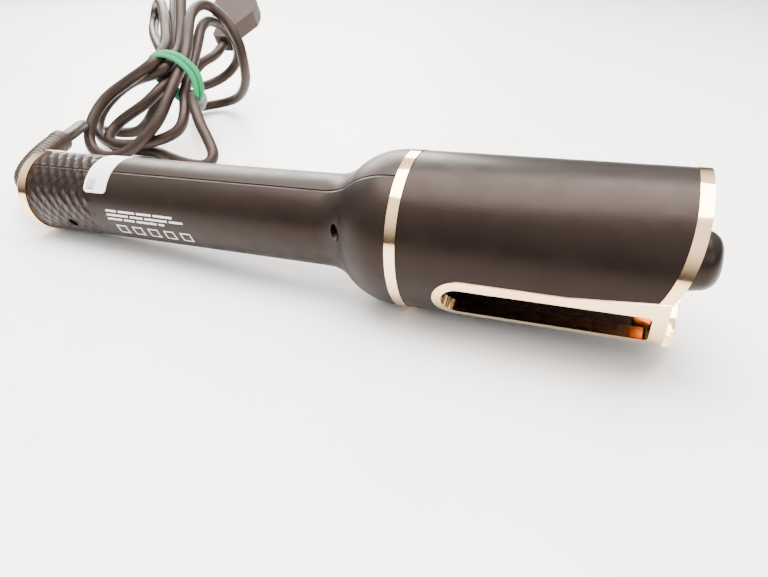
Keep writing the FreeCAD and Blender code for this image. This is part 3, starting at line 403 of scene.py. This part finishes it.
# Ribbed strain relief: rings of rubber on a tapered sleeve, with a collar at its end
RELIEF_L, RIB_PITCH, RIB_H = 0.060, 0.0026, 0.0006
ROOT_L, ROOT_R = 0.005, 0.0066
COLLAR_L, COLLAR_R = 0.0045, 0.0061
RELIEF_STEPS, RELIEF_SIDES = 320, 28


def relief_radius(s):
    """Radius of the strain relief at s metres from its root."""
    taper = 0.0058 - 0.0006 * s / RELIEF_L
    if s < ROOT_L:
        return ROOT_R
    if s > RELIEF_L - COLLAR_L:
        return COLLAR_R
    return taper + RIB_H * abs(math.sin(math.pi * s / RIB_PITCH)) ** 0.6


def point_at(s):
    """Point of the cord's centreline at s metres from the exit."""
    for a, b in zip(centreline, centreline[1:]):
        step = (b - a).length
        if s <= step:
            return a.lerp(b, s / step)
        s -= step
    return centreline[-1]


stops = [RELIEF_L * k / RELIEF_STEPS for k in range(RELIEF_STEPS + 1)]
sleeve = swept_rings([point_at(s) for s in stops], [relief_radius(s) for s in stops],
                     RELIEF_SIDES)
relief = mesh_piece("strain_relief", *skin(sleeve), jacket, "cord_set", "cord")
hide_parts("cord_relief")

# Rubber tie: two turns that run together on their left side
TIE_CENTRE = off(-7, 120, 44.5)
TIE_LONG = Vector((0.79, 0.06, -0.61)).normalized()
TIE_RUN = Vector((0.22, 0.90, 0.373)).normalized()
TIE_DEEP = TIE_LONG.cross(TIE_RUN).normalized()
TIE_HALF_L, TIE_HALF_T = 0.0190, 0.0102
TIE_ARCH = 0.0085               # how far the front of the tie bows along the hank
TIE_STEPS, TIE_SIDES = 64, 10
BAND_HALF_W, BAND_HALF_T = 0.0021, 0.0011
TURNS_APART = 0.0024


def tie_ring(angle, shift, lift):
    """Flattened section of one turn of the tie, at an angle round the hank."""
    c, s = math.cos(angle), math.sin(angle)
    out = TIE_LONG * math.copysign(abs(c) ** 0.8, c) * TIE_HALF_L
    out += TIE_DEEP * math.copysign(abs(s) ** 0.8, s) * TIE_HALF_T
    away = out.normalized()
    arch = TIE_ARCH * (1 - c * c) if s > 0 else 0
    at = TIE_CENTRE + out * (1 + lift) + TIE_RUN * (shift + arch)
    return [at + TIE_RUN * BAND_HALF_W * math.cos(a) + away * BAND_HALF_T * math.sin(a)
            for a in (math.tau * i / TIE_SIDES for i in range(TIE_SIDES))]


turns = []
for turn_no in (0, 1):
    for k in range(TIE_STEPS):
        angle = math.pi + math.tau * k / TIE_STEPS
        apart = TURNS_APART * math.sin(math.pi * k / TIE_STEPS) ** 0.7
        turns.append(tie_ring(angle, apart * (2 * turn_no - 1), 0.02 * turn_no))
tie = mesh_piece("green_tie", *skin(turns, closed=True), tie_green, "cord_set", "tie")
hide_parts("cord_tie")


# ---- print and label ------------------------------------------------------------------------
def patch(x0, x1, low, high, lift):
    """Curved rectangle of print on the handle, as rings for skin()."""
    steps = max(2, int((high - low) / 1.5))
    rows = []
    for k in range(steps + 1):
        e = low + (high - low) * k / steps
        rows.append([on_curler(x, e, handle_r(x) + lift)
                     for x in (x0, x0 + (x1 - x0) / 3, x0 + (x1 - x0) * 2 / 3, x1)])
    return rows


def printed(name, patches, material, slot):
    """One piece of several flat patches."""
    points, faces = [], []
    for rows in patches:
        base = len(points)
        n = len(rows[0])
        points += [p for row in rows for p in row]
        faces += [(base + k * n + i, base + k * n + i + 1, base + (k + 1) * n + i + 1,
                   base + (k + 1) * n + i) for k in range(len(rows) - 1) for i in range(n - 1)]
    return mesh_piece(name, points, faces, material, "handle", slot)


def frame_of(x0, x1, low, high, w, lift):
    """Outline of a rectangle; w is its line width in mm."""
    turn_w = math.degrees(w / handle_r(x0))
    return [patch(x0, x1, low, low + turn_w, lift), patch(x0, x1, high - turn_w, high, lift),
            patch(x0, x0 + w, low, high, lift), patch(x1 - w, x1, low, high, lift)]


INK_LIFT = 0.03                 # mm above the shell
LINE_HALF = 1.5                 # half height of a line of print, in degrees round the handle
WORD_GAP = 1.1
SQUARES, SQUARE_X0, SQUARE_STEP, SQUARE_W = 5, -135.0, 8.6, 5.4
bars = []
# middle of each line of print, and where its words start, in mm from the neck ring
LINES = [(4.5, (-138, -131, -121, -112, -101)), (-1.5, (-138, -125, -117, -104, -96)),
         (-7.5, (-138, -129, -122, -110, -106))]
for middle, stops_x in LINES:
    for x0, x1 in zip(stops_x, stops_x[1:]):
        bars.append(patch(x0, x1 - WORD_GAP, middle - LINE_HALF, middle + LINE_HALF, INK_LIFT))
for k in range(SQUARES):
    x0 = SQUARE_X0 + SQUARE_STEP * k
    bars += frame_of(x0, x0 + SQUARE_W, -33.0, -17.0, 0.6, INK_LIFT)
printed("plain_print", bars, print_white, "shell")

LABEL_LIFT = 0.03 + 0.15 + 0.02     # the sticker's gap and thickness, and the ink on it
marks = frame_of(-148.2, -144.2, 31.5, 46.0, 0.35, LABEL_LIFT)
marks += [patch(-147.4, -145.0, e, e + 1.3, LABEL_LIFT) for e in (33.5, 36.2, 38.9, 41.6)]
printed("label_marks", marks, ink, "sticker")

# ---- stage ----------------------------------------------------------------------------------
floor_mesh = bpy.data.meshes.new("floor")
FLOOR_HALF = 4
corners = [(x * FLOOR_HALF, y * FLOOR_HALF, 0) for x, y in ((-1, -1), (1, -1), (1, 1), (-1, 1))]
floor_mesh.from_pydata(corners, [], [(0, 1, 2, 3)])
floor = bpy.data.objects.new("floor", floor_mesh)
floor_mesh.materials.append(grained("pale_table", (0.88, 0.87, 0.86), (0.92, 0.91, 0.90), 0.42,
                                    600.0, 0.00002))
bpy.context.collection.objects.link(floor)


def area_light(name, at, aim, size, watts, tint):
    """A rectangular lamp that faces a point."""
    light = bpy.data.lights.new(name, "AREA")
    light.shape = "RECTANGLE"
    light.size, light.size_y = size
    light.energy = watts
    light.color = tint
    lamp = bpy.data.objects.new(name, light)
    way = Vector(aim) - Vector(at)
    lamp.matrix_world = Matrix.Translation(at) @ way.to_track_quat("-Z", "Y").to_matrix().to_4x4()
    bpy.context.collection.objects.link(lamp)


area_light("overhead", (-0.05, 0.10, 0.95), (0, 0.02, 0), (1.1, 0.8), 50.0, (1.0, 0.965, 0.93))
area_light("window", (0.75, -0.55, 0.55), (0.05, 0, 0.02), (0.7, 0.5), 4.0, (1.0, 0.98, 0.96))
area_light("back", (-0.6, 0.9, 0.5), (0, 0, 0.02), (0.8, 0.5), 26.0, (1.0, 0.95, 0.90))
world = bpy.data.worlds.new("studio")
world.use_nodes = True
sky = world.node_tree
way = sky.nodes.new("ShaderNodeTexCoord").outputs["Generated"]
height = sky.nodes.new("ShaderNodeSeparateXYZ")
sky.links.new(way, height.inputs[0])
fade = sky.nodes.new("ShaderNodeMapRange")
fade.interpolation_type = "SMOOTHSTEP"
sky.links.new(height.outputs["Z"], fade.inputs[0])
# from 0.12 at the horizon to 2.4 towards the zenith
for socket, value in ((1, 0.02), (2, 0.75), (3, 0.12), (4, 2.4)):
    fade.inputs[socket].default_value = value
sky.nodes["Background"].inputs[0].default_value = (1.0, 0.975, 0.95, 1)
sky.links.new(fade.outputs[0], sky.nodes["Background"].inputs[1])
bpy.context.scene.world = world
